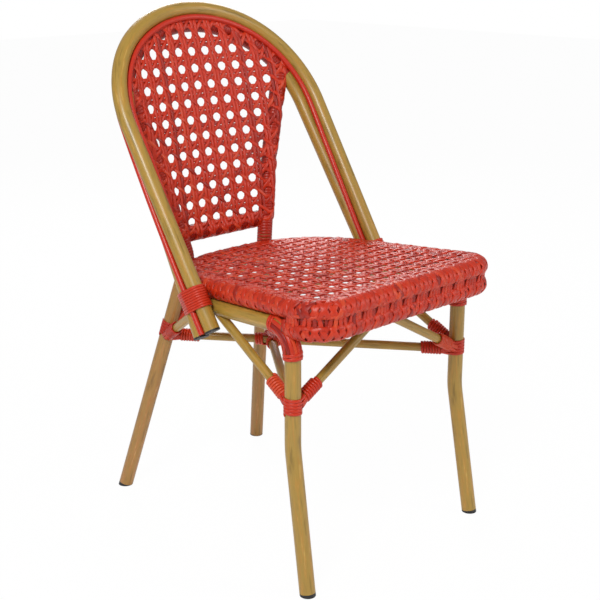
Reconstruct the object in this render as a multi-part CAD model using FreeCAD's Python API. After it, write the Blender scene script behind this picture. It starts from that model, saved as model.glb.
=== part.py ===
import FreeCAD, Part
import math
import os

# Metal bistro chair, a fixed stacking chair in bent tube with a woven seat and back.
# Millimetres, +Z up. The sitter faces -Y. The origin lies on the floor under the middle
# of the chair, and every left piece is mirrored in the plane X = 0.

# Main tube, used for the bows, the legs, the rails, the seat ring and the back bar
tubeR = 12.7
tubeWall = 1.5
strutR = 7.5
strutWall = 1.2
touchGap = 0.1
clearGap = 0.3

# Front legs and side rails, one bent tube on each side
legX = 196.5
legY = -208.5
footSpread = 6.2
footForward = 38.2
kneeZ = 232.0
kneeBend = 160.0
railBend = 40.0
railEndY = 30.0
railTaper = 0.082

# Rear legs, which go on as the uprights of the back
rearFootX = 165.6
rearFootY = 271.0
rearBendX = 91.0
rearBendZ = 441.0
rearBendRadius = 60.0
uprightMid = FreeCAD.Vector(125.0, 185.0, 590.0)
uprightBend = 700.0
uprightTopX = 173.0
uprightTopZ = 744.0

# Foot plugs
plugHead = 4.0
plugDepth = 16.0

# Seat ring, a rounded tube frame that slopes down towards the back
ringFrontX = 196.0
ringFrontY = -267.5
ringFrontZ = 459.4
ringSideX = 176.0
ringSideY = 0.5
ringCornerR = 40.0
ringRearR = 147.0
seatSlope = 0.0685

# Woven skins
strand = 3.8
sheetSink = 0.25
backSkin = 1.8
holeR = 7.9
seatPitchX = 30.5
seatPitchY = 28.8
seatHoleY = -25.5
backPitchX = 30.2
backPitchZ = 28.4
backHoleZ = 758.6

# Twin bow: crown arc, shoulder arc and straight leg, in a leaning plane
bowApexY = 255.7
bowApexZ = 857.3
bowTilt = 32.2
bowCrownR = 234.0
bowCrownAngle = 34.3
bowShoulderR = 191.0
bowLegAngle = 90.8
bowLeg = 355.6
innerDrop = 22.0
innerBack = 14.7
innerTilt = 30.83
innerCrownR = 212.0
innerShoulderR = 174.0
innerLegAngle = 87.1
innerLeg = 364.0
trimR = 4.8
trimShort = 80.0
bowPlugHead = 3.0

# Back panel: a shallow curved sheet, its height measured from panelMidZ in hundreds
panelMidY = 189.8
panelMidZ = 620.0
panelLean = 18.8
panelCurl = 2.6
panelHollow = 0.00075
backBarY = 177.5
backBarZ = 482.0

# Struts under the seat
stretcherFrontZ = 297.0
stretcherRearZ = 301.0
frontBraceZ = 299.0
frontBraceRise = 1.8
sideBraceZ = 303.0
sideBraceEndY = -11.0
rearSideBraceZ = 297.0
rearSideBraceEndY = 9.0
rearBraceZ = 306.0
rearBraceEndX = 12.0
crossBarZ = 413.0
crossBarR = 10.0

# Bands, sleeves and windings
bandWall = 2.0
bandHeight = 29.0
frontBandZ = 302.5
rearBandZ = 312.0
sleeveWall = 2.4
sleeveLegZ = 378.0
sleeveRailY = -165.0
windR = 2.15
windPitch = 4.9
windTurns = 7
windStart = 24.5
bowWindR = 1.7
bowWindPitch = 4.0
bowWindTurns = 9
bowWindStart = 480.0
boltR = 4.0
boltAlong = 529.0


def vec(x, y, z):
    return FreeCAD.Vector(x, y, z)


def unit(v):
    return v * (1.0 / v.Length)


def mirrored(shape):
    return shape.mirror(vec(0, 0, 0), vec(1, 0, 0))


def ringZ(y):
    """Height of the seat ring's axis."""
    return ringFrontZ - seatSlope * (y - ringFrontY)


railDrop = tubeR * 2 + strand + touchGap * 4


def railZ(y):
    """Height of the side rail's axis, one strand below the ring."""
    return ringZ(y) - railDrop


def railX(y):
    return legX - railTaper * (y - legY)


def roundedPath(corners, radii):
    """Wire of straight runs through the corners, with an arc of each radius at the inner corners."""
    edges = []
    last = corners[0]
    for i in range(1, len(corners) - 1):
        corner = corners[i]
        back = unit(corners[i - 1] - corner)
        ahead = unit(corners[i + 1] - corner)
        half = back.getAngle(ahead) / 2.0
        run = radii[i - 1] / math.tan(half)
        start = corner + back * run
        end = corner + ahead * run
        towards = unit(back + ahead)
        middle = corner + towards * (radii[i - 1] / math.sin(half) - radii[i - 1])
        if (start - last).Length > 0.001:
            edges.append(Part.makeLine(last, start))
        edges.append(Part.Arc(start, middle, end).toShape())
        last = end
    edges.append(Part.makeLine(last, corners[-1]))
    return Part.Wire(edges)


def sweep(wire, radius):
    """Solid rod of one radius along a wire."""
    first = wire.Edges[0]
    point = first.valueAt(first.FirstParameter)
    along = first.tangentAt(first.FirstParameter)
    profile = Part.Wire(Part.makeCircle(radius, point, along))
    rod = wire.makePipeShell([profile], True, False)
    if rod.Volume < 0:
        rod.reverse()
    return rod


def hollow(wire, radius, wall):
    return sweep(wire, radius).cut(sweep(wire, radius - wall))


def straightRod(start, end, radius):
    return Part.makeCylinder(radius, (end - start).Length, start, end - start)


def cutAll(shape, tools):
    for tool in tools:
        shape = shape.cut(tool)
    return shape


def biggest(shape):
    """The largest solid of a shape, for a strut whose offcut lies inside another tube."""
    return sorted(shape.Solids, key=lambda s: s.Volume)[-1]


# Wound strands: a belt round circles, climbing by one pitch a turn, each bend a pair of arcs
def arcFrom(start, along, end):
    chord = end - start
    flat = along - chord * (along.dot(chord) / chord.dot(chord))
    rise = chord.Length / 2.0 * math.tan(along.getAngle(chord) / 2.0)
    middle = (start + end) * 0.5 + unit(flat) * rise
    return Part.Arc(start, middle, end).toShape()


def biarc(p0, t0, p1, t1):
    v = p1 - p0
    s = t0 + t1
    a = 4.0 - s.dot(s)
    b = 2.0 * v.dot(s)
    if a < 0.000001:
        return [Part.makeLine(p0, p1)]
    d = (-b + math.sqrt(b * b + 4.0 * a * v.dot(v))) / (2.0 * a)
    joint = (p0 + p1 + (t0 - t1) * d) * 0.5
    back = arcFrom(p1, t1 * -1.0, joint)
    middle = back.valueAt((back.FirstParameter + back.LastParameter) / 2.0)
    return [arcFrom(p0, t0, joint), Part.Arc(joint, middle, p1).toShape()]


def beltStations(circles):
    """Flat points of one turn round the circles (x, y, radius): x, y, heading and length so far."""
    count = len(circles)
    leaving = []
    for i in range(count):
        x0, y0, r0 = circles[i]
        x1, y1, r1 = circles[(i + 1) % count]
        angle = math.atan2(y1 - y0, x1 - x0)
        if count > 1:
            angle += math.asin((r0 - r1) / math.hypot(x1 - x0, y1 - y0))
        leaving.append(angle)
    stations = []
    length = 0.0
    for i in range(count):
        x, y, r = circles[i]
        first = leaving[i - 1]
        sweepAngle = (leaving[i] - first) % (2.0 * math.pi)
        if count == 1:
            sweepAngle = 2.0 * math.pi
        pieces = int(math.ceil(sweepAngle / (math.pi + 0.01)))
        for k in range(pieces + (count > 1)):
            turn = first + sweepAngle * k / pieces
            px = x + r * math.sin(turn)
            py = y - r * math.cos(turn)
            if k > 0:
                length += r * sweepAngle / pieces
            elif stations:
                length += math.hypot(px - stations[-1][0], py - stations[-1][1])
            stations.append((px, py, turn, length))
    if count == 1:
        return stations, 2.0 * math.pi * circles[0][2]
    closing = math.hypot(stations[0][0] - stations[-1][0], stations[0][1] - stations[-1][1])
    return stations, length + closing


def winding(name, origin, axis, side, circles, wireR, pitch, turns):
    """One unbroken strand pulled round circles that lie square to the axis, for some turns."""
    axis = unit(axis)
    side = unit(side - axis * side.dot(axis))
    other = axis.cross(side)
    stations, around = beltStations([(x, y, r + wireR) for x, y, r in circles])
    slope = pitch / around
    places = []
    for turn in range(turns):
        for x, y, angle, length in stations:
            flat = side * x + other * y
            heading = side * math.cos(angle) + other * math.sin(angle) + axis * slope
            places.append((origin + flat + axis * (pitch * turn + slope * length), unit(heading)))
    edges = []
    for i in range(len(places) - 1):
        edges += biarc(places[i][0], places[i][1], places[i + 1][0], places[i + 1][1])
    path = Part.Wire(edges)
    samples = []
    far = []
    length = 0.0
    for edge in edges:
        for k in range(8):
            share = k / 8.0
            samples.append(edge.valueAt(edge.FirstParameter + (edge.LastParameter - edge.FirstParameter) * share))
            far.append(length + edge.Length * share)
        length += edge.Length
    least = 1000.0
    for i in range(len(samples)):
        for j in range(i + 1, len(samples)):
            if around * 0.5 < far[j] - far[i] < around * 1.5:
                least = min(least, (samples[i] - samples[j]).Length)
    print("winding", name, "turns", turns, "least gap to itself", round(least - 2.0 * wireR, 2), "mm")
    return sweep(path, wireR)


# Side tubes: foot, knee, upright, bend and rail
def sideTubePath():
    foot = vec(legX + footSpread, legY - footForward, plugHead)
    knee = vec(legX, legY, kneeZ)
    bend = vec(legX, legY, railZ(legY))
    end = vec(railX(railEndY), railEndY, railZ(railEndY))
    return roundedPath([foot, knee, bend, end], [kneeBend, railBend])


# Rear legs: foot, bend behind the seat ring, curved upright, end at the inner bow
def rearBendY():
    """The bend stands behind the ring, clear by the touch gap where the two cross."""
    centreX = ringSideX - ringRearR
    reach = ringRearR + 2.0 * tubeR + touchGap
    return ringSideY + math.sqrt(reach * reach - (rearBendX - centreX) ** 2)


def rearCorner():
    return vec(rearBendX, rearBendY(), rearBendZ)


def rearLegPoint(z):
    foot = vec(rearFootX, rearFootY, 0.0)
    return foot + (rearCorner() - foot) * (z / rearBendZ)


def innerBowPlane(drop):
    """Y of the inner bow's axis plane at a height below its apex."""
    return innerApex().y - drop * math.tan(math.radians(innerTilt))


def rearLegPath():
    foot = rearLegPoint(plugHead)
    top = vec(uprightTopX, innerBowPlane(innerApex().z - uprightTopZ), uprightTopZ)
    return roundedPath([foot, rearCorner(), uprightMid, top], [rearBendRadius, uprightBend])


# Bows
def bowDown(tilt):
    angle = math.radians(tilt)
    return vec(0.0, -math.sin(angle), -math.cos(angle))


def outerApex():
    return vec(0.0, bowApexY, bowApexZ)


def innerApex():
    down = bowDown(bowTilt)
    behind = vec(0.0, -down.z, down.y)
    return outerApex() + down * innerDrop + behind * innerBack


def bowPoint(bow, part, share):
    """A point of a bow's right half: part 0 is the crown, 1 the shoulder, 2 the straight leg."""
    apex, tilt, crownR, shoulderR, legAngle, leg = bow
    down = bowDown(tilt)
    crown = math.radians(bowCrownAngle)
    last = math.radians(legAngle)
    angle = crown * share if part == 0 else crown + (last - crown) * min(share, 1.0)
    if part == 2:
        angle = last
    x = crownR * math.sin(min(angle, crown))
    s = crownR * (1.0 - math.cos(min(angle, crown)))
    if part > 0:
        x += shoulderR * (math.sin(angle) - math.sin(crown))
        s += shoulderR * (math.cos(crown) - math.cos(angle))
    if part == 2:
        x += leg * share * math.cos(last)
        s += leg * share * math.sin(last)
    return vec(x, 0, 0) + apex + down * s


outerBow = (outerApex(), bowTilt, bowCrownR, bowShoulderR, bowLegAngle, bowLeg)
innerBow = (innerApex(), innerTilt, innerCrownR, innerShoulderR, innerLegAngle, innerLeg)


def bowWire(bow, shoulderShare=1.0, withLegs=True):
    half = [Part.Arc(bowPoint(bow, 1, shoulderShare), bowPoint(bow, 1, shoulderShare / 2.0),
                     bowPoint(bow, 1, 0.0)).toShape()]
    if withLegs:
        half.insert(0, Part.makeLine(bowPoint(bow, 2, 1.0), bowPoint(bow, 2, 0.0)))
    right = bowPoint(bow, 0, 1.0)
    crown = Part.Arc(right, bow[0], vec(-right.x, right.y, right.z)).toShape()
    left = [mirrored(edge) for edge in reversed(half)]
    return Part.Wire(half + [crown] + left)


def nearestOn(wire, point):
    return wire.distToShape(Part.Vertex(point))[1][0][0]


def trimPath(front):
    """Axis of a trim cord, which rests in the groove between the two bows."""
    wires = [bowWire(outerBow), bowWire(innerBow)]
    reach = tubeR + trimR + clearGap
    way = 1.0 if front else -1.0
    right = []
    for part, count in ((0, 5), (1, 7), (2, 6)):
        for k in range(count):
            share = k / float(count)
            if part == 2:
                share = k / float(count - 1) * (1.0 - trimShort / bowLeg if front else 1.0)
            a = bowPoint(outerBow, part, share)
            pair = bowPoint(innerBow, part, share) - a
            side = unit(pair.cross(bowPoint(outerBow, part, share + 0.01) - a))
            point = a + pair * 0.5 + side * way * math.sqrt(reach ** 2 - pair.Length ** 2 / 4.0)
            for settle in range(4):
                for wire in wires:
                    seat = nearestOn(wire, point)
                    point = seat + unit(point - seat) * reach
            if share == 0.0 and part == 0:
                point.x = 0.0
            right.append(point)
    left = [vec(-p.x, p.y, p.z) for p in reversed(right[1:])]
    curve = Part.BSplineCurve()
    curve.interpolate(left + right)
    return Part.Wire(curve.toShape())


# Seat ring and the rail below its front
def ringPoint(x, y, lower=0.0):
    return vec(x, y, ringZ(y) - lower)


def ringSideAt(y):
    """Half width of the ring's straight side."""
    share = (y - (ringFrontY + ringCornerR)) / (ringSideY - (ringFrontY + ringCornerR))
    return ringFrontX + (ringSideX - ringFrontX) * share


def seatOutline(lower=0.0):
    """Edges of the ring's right half, from the middle of the front to the middle of the rear."""
    cornerX = ringFrontX - ringCornerR
    cornerY = ringFrontY + ringCornerR
    centreX = ringSideX - ringRearR
    diagonal = math.sqrt(0.5)
    p = ringPoint
    front = Part.makeLine(p(0, ringFrontY, lower), p(cornerX, ringFrontY, lower))
    corner = Part.Arc(p(cornerX, ringFrontY, lower),
                      p(cornerX + ringCornerR * diagonal, cornerY - ringCornerR * diagonal, lower),
                      p(ringFrontX, cornerY, lower)).toShape()
    side = Part.makeLine(p(ringFrontX, cornerY, lower), p(ringSideX, ringSideY, lower))
    rear = Part.Arc(p(ringSideX, ringSideY, lower),
                    p(centreX + ringRearR * diagonal, ringSideY + ringRearR * diagonal, lower),
                    p(centreX, ringSideY + ringRearR, lower)).toShape()
    back = Part.makeLine(p(centreX, ringSideY + ringRearR, lower), p(0, ringSideY + ringRearR, lower))
    return [front, corner, side, rear, back]


def closedRing(radius):
    right = seatOutline()
    left = [mirrored(edge) for edge in reversed(right)]
    return sweep(Part.Wire(right + left), radius)


def lowerRailPath():
    front, corner = seatOutline(railDrop)[:2]
    cornerY = ringFrontY + ringCornerR
    end = vec(ringFrontX, legY + tubeR, railZ(legY + tubeR))
    side = Part.makeLine(end, ringPoint(ringFrontX, cornerY, railDrop))
    left = [mirrored(edge) for edge in (front, corner, side)]
    return Part.Wire([side, corner, front] + left)


def insideSeat(x, y, margin):
    """Whether a hole fits inside the seat ring with a margin all round."""
    half = ringSideAt(y) - margin
    if y < ringFrontY + margin or abs(x) > half:
        return False
    centreX = ringSideX - ringRearR
    if y > ringSideY and abs(x) > centreX:
        return math.hypot(abs(x) - centreX, y - ringSideY) < ringRearR - margin
    cornerX = ringFrontX - ringCornerR
    cornerY = ringFrontY + ringCornerR
    if y < cornerY and abs(x) > cornerX:
        return math.hypot(abs(x) - cornerX, y - cornerY) < ringCornerR - margin
    return y < ringSideY + ringRearR - margin


def seatSheet():
    """Holed sheet that lies just below the top of the wrapped ring."""
    holes = []
    for i in range(-7, 7):
        for j in range(-9, 8):
            x = (i + 0.5) * seatPitchX
            y = seatHoleY + j * seatPitchY
            if insideSeat(x, y, tubeR + holeR + 2.0):
                holes.append((x, y))
    slab = 120.0
    right = seatOutline(slab / 2.0)
    flat = [mirrored(edge) for edge in reversed(right)]
    face = Part.Face(Part.Wire(right + flat))
    sheet = face.extrude(vec(0, 0, strand))
    sheet.translate(vec(0, 0, slab / 2.0 + tubeR + touchGap - sheetSink))
    drills = []
    for x, y in holes:
        drills.append(Part.makeCylinder(holeR, slab, vec(x, y, ringZ(y) - slab / 2.0)))
    print("seat holes", len(holes))
    return sheet.cut(Part.makeCompound(drills))


# Back panel
def panelY(x, z):
    h = (z - panelMidZ) / 100.0
    return panelMidY + panelLean * h + panelCurl * h * h - panelHollow * x * x


def flat(v):
    return vec(v.x, -100.0, v.z)


def panelSheet():
    """Curved sheet one strand thick, cut to the frame of the back and holed."""
    rows = []
    for k in range(9):
        z = backBarZ - 30.0 + k * 50.0
        rows.append([vec(x, panelY(x, z) - strand / 2.0, z) for x in range(-240, 241, 60)])
    surface = Part.BSplineSurface()
    surface.interpolate(rows)
    sheet = surface.toShape().extrude(vec(0, strand, 0))
    points = []
    for k in range(13):
        z = backBarZ + (uprightTopZ - backBarZ) * k / 12.0
        points.append(vec(uprightAt(z).x, -100.0, z))
    side = Part.BSplineCurve()
    side.interpolate(points)
    share = shoulderShareAt(uprightTopZ)
    shoulderCurve = Part.BSplineCurve()
    shoulderCurve.interpolate([flat(bowPoint(innerBow, 1, share * k / 6.0)) for k in range(6, -1, -1)])
    crownCurve = Part.BSplineCurve()
    crownCurve.interpolate([flat(bowPoint(innerBow, 0, k / 6.0)) for k in range(6, -1, -1)])
    join = Part.makeLine(points[-1], flat(bowPoint(innerBow, 1, share)))
    base = Part.makeLine(vec(0, -100.0, backBarZ), points[0])
    right = [base, side.toShape(), join, shoulderCurve.toShape(), crownCurve.toShape()]
    outline = Part.Wire(right + [mirrored(edge) for edge in reversed(right)])
    block = Part.Face(outline).extrude(vec(0, 600, 0))
    drills = []
    for i in range(-7, 7):
        for j in range(-3, 10):
            x = (i + 0.5) * backPitchX
            z = backHoleZ - j * backPitchZ
            if insideBack(abs(x), z, holeR + 2.0):
                drills.append(Part.makeCylinder(holeR, 600, vec(x, -100, z), vec(0, 1, 0)))
    print("back holes", len(drills))
    return sheet.common(block).cut(Part.makeCompound(drills))


def uprightAt(z):
    """Point of the upright's axis at a height, without its gentle bends."""
    corner = rearCorner()
    top = vec(uprightTopX, innerBowPlane(innerApex().z - uprightTopZ), uprightTopZ)
    if z < uprightMid.z:
        return corner + (uprightMid - corner) * ((z - corner.z) / (uprightMid.z - corner.z))
    return uprightMid + (top - uprightMid) * ((z - uprightMid.z) / (top.z - uprightMid.z))


def shoulderShareAt(z):
    """Share of the inner bow's shoulder arc at which its axis reaches a height."""
    low = 0.0
    high = 1.0
    for k in range(40):
        middle = (low + high) / 2.0
        if bowPoint(innerBow, 1, middle).z > z:
            low = middle
        else:
            high = middle
    return low


def insideBack(x, z, margin):
    """Whether a hole fits between the wrapped uprights, the bar and the inner bow."""
    edge = tubeR + margin
    if z < backBarZ + edge:
        return False
    if z < uprightTopZ:
        return x < uprightAt(z).x - edge
    crownEnd = bowPoint(innerBow, 0, 1.0)
    for k in range(41):
        part, share = (0, k / 20.0) if k <= 20 else (1, (k - 20) / 20.0)
        p = bowPoint(innerBow, part, share)
        if math.hypot(p.x - x, p.z - z) < edge:
            return False
    return z < innerApex().z - edge


# Plugs
def footPlug(path):
    """A black plug: a head under the tube's end and a shank inside it."""
    edge = path.Edges[0]
    start = edge.valueAt(edge.FirstParameter)
    along = unit(edge.tangentAt(edge.FirstParameter))
    if along.z < 0:
        edge = path.Edges[-1]
        start = edge.valueAt(edge.LastParameter)
        along = unit(edge.tangentAt(edge.LastParameter)) * -1.0
    head = Part.makeCylinder(tubeR, plugHead * 2.0, start - along * plugHead * 2.0, along)
    floor = Part.makeBox(200, 200, 100, vec(start.x - 100, start.y - 100, -100))
    shank = Part.makeCylinder(tubeR - tubeWall - touchGap, plugDepth, start, along)
    return head.cut(floor).fuse(shank).removeSplitter()


def bowPlug(bow):
    end = bowPoint(bow, 2, 1.0)
    along = unit(bowPoint(bow, 2, 0.0) - end)
    head = Part.makeCylinder(tubeR, bowPlugHead, end - along * bowPlugHead, along)
    shank = Part.makeCylinder(tubeR - tubeWall - touchGap, plugDepth, end, along)
    return head.fuse(shank).removeSplitter()


# Struts under the seat, each coped to what it meets
frontJoint = vec(legX, legY, 0.0)


def strut(start, end, tools):
    solid = straightRod(start, end, strutR).cut(straightRod(start, end, strutR - strutWall))
    return biggest(cutAll(solid, tools))


def endWinding(name, start, end, leg):
    """Strand wound round a strut, starting where it comes clear of the band on the leg."""
    along = unit(end - start)
    angle = along.getAngle(leg)
    if angle > math.pi / 2.0:
        angle = math.pi - angle
    around = strutR + touchGap + windR * 2.0
    clear = (tubeR + touchGap + bandWall + around * math.cos(angle)) / math.sin(angle) + clearGap
    return winding(name, start + along * max(windStart, clear), along, vec(0, 0, 1),
                   [(0, 0, strutR + touchGap)], windR, windPitch, windTurns)


def sleeve(wire, wall):
    """Sleeve round the main tube along a wire."""
    return sweep(wire, tubeR + touchGap + wall).cut(sweep(wire, tubeR + touchGap))


def band(point, along, wall=bandWall, height=bandHeight):
    start = point - along * (height / 2.0)
    end = point + along * (height / 2.0)
    return sleeve(Part.Wire(Part.makeLine(start, end)), wall)


nodes = {}


def both(name, solid):
    """The same piece on the right and, mirrored, on the left."""
    nodes[name + "_right"] = solid
    nodes[name + "_left"] = mirrored(solid)


sidePath = sideTubePath()
rearPath = rearLegPath()
sideSolid = sweep(sidePath, tubeR + touchGap)
rearSolid = sweep(rearPath, tubeR + touchGap)
ringSolid = closedRing(tubeR + touchGap)
innerSolid = sweep(bowWire(innerBow), tubeR + touchGap)
outerSolid = sweep(bowWire(outerBow), tubeR + touchGap)

# Bows, trims and their plugs
nodes["outer_bow"] = hollow(bowWire(outerBow), tubeR, tubeWall)
nodes["inner_bow"] = hollow(bowWire(innerBow), tubeR, tubeWall)
frontTrim = trimPath(True)
rearTrim = trimPath(False)
nodes["trim_cord_front"] = sweep(frontTrim, trimR)
nodes["trim_cord_rear"] = sweep(rearTrim, trimR)
plugs = [bowPlug(outerBow), bowPlug(innerBow)]
nodes["bow_end_plugs"] = Part.makeCompound(plugs + [mirrored(p) for p in plugs])

# Bolt that holds the outer bow to the side rail
boltPoint = bowPoint(outerBow, 2, (boltAlong - 198.5) / bowLeg)
boltStart = vec(railX(boltPoint.y) - 2.0, boltPoint.y, boltPoint.z)
boltRod = straightRod(boltStart, vec(boltPoint.x, boltPoint.y, boltPoint.z), boltR)
boltHole = straightRod(boltStart, vec(boltPoint.x, boltPoint.y, boltPoint.z), boltR + touchGap)
nodes["bow_bolts"] = Part.makeCompound([boltRod, mirrored(boltRod)])
nodes["outer_bow"] = cutAll(nodes["outer_bow"], [boltHole, mirrored(boltHole)])

# Side tubes, rear legs and feet
rearTube = hollow(rearPath, tubeR, tubeWall).cut(innerSolid)
both("side_tube", hollow(sidePath, tubeR, tubeWall).cut(boltHole))
both("rear_leg", biggest(rearTube))
both("front_foot_plug", footPlug(sidePath))
both("rear_foot_plug", footPlug(rearPath))

# Seat frame
nodes["seat_ring"] = closedRing(tubeR).cut(closedRing(tubeR - tubeWall))
lowPath = lowerRailPath()
bothSides = [sideSolid, mirrored(sideSolid)]
bothRears = [rearSolid, mirrored(rearSolid)]
nodes["front_lower_rail"] = biggest(cutAll(hollow(lowPath, tubeR, tubeWall), bothSides))
barY = legY
barEnd = vec(legX, barY, crossBarZ)
barRod = straightRod(vec(-legX, barY, crossBarZ), barEnd, crossBarR)
barBore = straightRod(vec(-legX, barY, crossBarZ), barEnd, crossBarR - strutWall)
lowTool = sweep(lowPath, tubeR + touchGap)
nodes["front_cross_bar"] = biggest(cutAll(barRod.cut(barBore), bothSides + [lowTool]))
barSolid = straightRod(vec(-legX, barY, crossBarZ), barEnd, crossBarR + touchGap)

# Back bar between the uprights
backBarStart = vec(-uprightAt(backBarZ).x, backBarY, backBarZ)
backBarEnd = vec(uprightAt(backBarZ).x, backBarY, backBarZ)
barWire = Part.Wire(Part.makeLine(backBarStart, backBarEnd))
nodes["back_lower_bar"] = biggest(cutAll(hollow(barWire, tubeR, tubeWall), bothRears))

# Stretchers that cross under the seat
stretcherFront = frontJoint + vec(0, 0, stretcherFrontZ)
stretcherRear = rearLegPoint(stretcherRearZ)
rearLeft = vec(-stretcherRear.x, stretcherRear.y, stretcherRear.z)
frontLeft = vec(-stretcherFront.x, stretcherFront.y, stretcherFront.z)
longSolid = straightRod(rearLeft, stretcherFront, strutR + touchGap)
legTools = bothSides + bothRears
nodes["stretcher_long"] = strut(rearLeft, stretcherFront, legTools)
crossShare = stretcherRear.x / (stretcherRear.x + stretcherFront.x)
crossing = rearLeft + (stretcherFront - rearLeft) * crossShare
nodes["stretcher_front_half"] = strut(frontLeft, crossing, legTools + [longSolid])
nodes["stretcher_rear_half"] = strut(stretcherRear, crossing, legTools + [longSolid])
stretcherTool = straightRod(stretcherRear, frontLeft, strutR + touchGap)
stretchers = [longSolid, mirrored(longSolid)]

# Braces: two in the front plane, two on each side, two at the rear
frontBraceStart = frontJoint + vec(0, 0, frontBraceZ)
braceRun = (crossBarZ - frontBraceZ) * frontBraceRise
frontBraceEnd = vec(legX - braceRun, legY, crossBarZ)
half = Part.makeBox(600, 1200, 1200, vec(touchGap, -600, 0))
frontBrace = strut(frontBraceStart, frontBraceEnd, legTools + stretchers + [barSolid]).common(half)
both("front_brace", frontBrace)
frontBraceSolid = straightRod(frontBraceStart, frontBraceEnd, strutR + touchGap)

sideBraceStart = frontJoint + vec(0, 0, sideBraceZ)
sideBraceEnd = vec(railX(sideBraceEndY), sideBraceEndY, railZ(sideBraceEndY))
sideBrace = strut(sideBraceStart, sideBraceEnd, legTools + stretchers + [frontBraceSolid])
both("side_brace_front", sideBrace)
sideBraceSolid = straightRod(sideBraceStart, sideBraceEnd, strutR + touchGap)

rearSideStart = rearLegPoint(rearSideBraceZ)
rearSideEnd = vec(railX(rearSideBraceEndY), rearSideBraceEndY, railZ(rearSideBraceEndY))
rearSideTools = legTools + stretchers + [sideBraceSolid]
both("side_brace_rear", strut(rearSideStart, rearSideEnd, rearSideTools))
rearSideSolid = straightRod(rearSideStart, rearSideEnd, strutR + touchGap)

rearBraceStart = rearLegPoint(rearBraceZ)
rearBraceEnd = ringPoint(rearBraceEndX, ringSideY + ringRearR)
rearBraceTools = legTools + stretchers + [rearSideSolid, ringSolid]
both("rear_brace", strut(rearBraceStart, rearBraceEnd, rearBraceTools).common(half))
rearBraceSolid = straightRod(rearBraceStart, rearBraceEnd, strutR + touchGap)

# Bands round the legs where the struts meet them
jointRods = [longSolid, mirrored(longSolid), frontBraceSolid, sideBraceSolid, rearSideSolid, rearBraceSolid]
both("joint_band_front", cutAll(band(frontJoint + vec(0, 0, frontBandZ), vec(0, 0, 1)), jointRods))
rearAlong = unit(rearCorner() - vec(rearFootX, rearFootY, 0.0))
both("joint_band_rear", cutAll(band(rearLegPoint(rearBandZ), rearAlong), jointRods))

# Windings at the strut ends
frontWound = [endWinding("front stretcher", stretcherFront, rearLeft, vec(0, 0, 1)),
              endWinding("front brace", frontBraceStart, frontBraceEnd, vec(0, 0, 1)),
              endWinding("side brace, front", sideBraceStart, sideBraceEnd, vec(0, 0, 1))]
both("joint_windings_front", Part.makeCompound(frontWound))
rearWound = [endWinding("rear stretcher", stretcherRear, frontLeft, rearAlong),
             endWinding("side brace, rear", rearSideStart, rearSideEnd, rearAlong),
             endWinding("rear brace", rearBraceStart, rearBraceEnd, rearAlong)]
both("joint_windings_rear", Part.makeCompound(rearWound))

# Winding round each twin bow, over the trim cords
windShare = (bowWindStart - 198.5) / bowLeg
windOuter = bowPoint(outerBow, 2, windShare)
legAlong = unit(bowPoint(outerBow, 2, 1.0) - bowPoint(outerBow, 2, 0.0))
pairVector = bowPoint(innerBow, 2, windShare) - windOuter
pairVector = pairVector - legAlong * pairVector.dot(legAlong)
pairHalf = pairVector.Length / 2.0
cordOut = math.sqrt((tubeR + trimR + touchGap) ** 2 - pairHalf ** 2)
outward = 1.0 if legAlong.cross(pairVector).x > 0 else -1.0
bowCircles = [(pairHalf, 0, tubeR + touchGap), (-pairHalf, 0, tubeR + touchGap)]
bowCircles.insert(1 if outward > 0 else 2, (0, outward * cordOut, trimR + touchGap))
bowWound = winding("bow", windOuter + pairVector * 0.5, legAlong, pairVector, bowCircles,
                   bowWindR, bowWindPitch, bowWindTurns)
both("bow_binding", bowWound)

# Wound binding where the stretchers cross
crossWound = []
longAlong = unit(stretcherFront - rearLeft)
crossAlong = unit(frontLeft - stretcherRear)
for direction in (longAlong, longAlong * -1.0, crossAlong, crossAlong * -1.0):
    crossWound.append(winding("crossing", crossing + direction * 14.5, direction, vec(0, 0, 1),
                              [(0, 0, strutR + touchGap)], windR, windPitch, 3))
nodes["crossing_binding"] = Part.makeCompound(crossWound)

# Sleeves over the bends of the side tubes
sleevePath = roundedPath([vec(legX, legY, sleeveLegZ), vec(legX, legY, railZ(legY)),
                          vec(railX(sleeveRailY), sleeveRailY, railZ(sleeveRailY))], [railBend])
bendSleeve = biggest(cutAll(sleeve(sleevePath, sleeveWall), [lowTool, barSolid]))
both("bend_sleeve", bendSleeve)

# Woven seat: sheet, wrapped ring and wrapped front rail in one piece
wrapR = tubeR + touchGap + strand
seatSkin = closedRing(wrapR).fuse(sweep(lowPath, wrapR)).fuse(seatSheet())
sleeveTool = sweep(sleevePath, tubeR + touchGap * 2 + sleeveWall)
seatTools = [ringSolid, lowTool, sleeveTool, mirrored(sleeveTool), barSolid]
seatTools += [rearBraceSolid, mirrored(rearBraceSolid)] + legTools
nodes["seat_weave"] = biggest(cutAll(seatSkin, seatTools))

# Woven back: sheet, wrapped uprights, wrapped bar and wrapped top of the inner bow
skinR = tubeR + touchGap + backSkin
topShare = shoulderShareAt(uprightTopZ - 12.0)
bowWrap = sweep(bowWire(innerBow, topShare, False), skinR)
barWrap = sweep(barWire, skinR)
uprightWrap = sweep(rearPath, skinR)
above = Part.makeBox(1000, 1000, 1000, vec(-500, -500, ringZ(rearBendY()) + wrapR + 6.0))
uprightWrap = uprightWrap.common(above)
trims = [sweep(frontTrim, trimR + touchGap), sweep(rearTrim, trimR + touchGap)]
backSkinSolid = bowWrap.fuse([barWrap, uprightWrap, mirrored(uprightWrap), panelSheet()])
barTool = sweep(barWire, tubeR + touchGap)
backTools = [innerSolid, outerSolid, barTool] + bothRears + trims
nodes["back_weave"] = biggest(cutAll(backSkinSolid, backTools))

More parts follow.
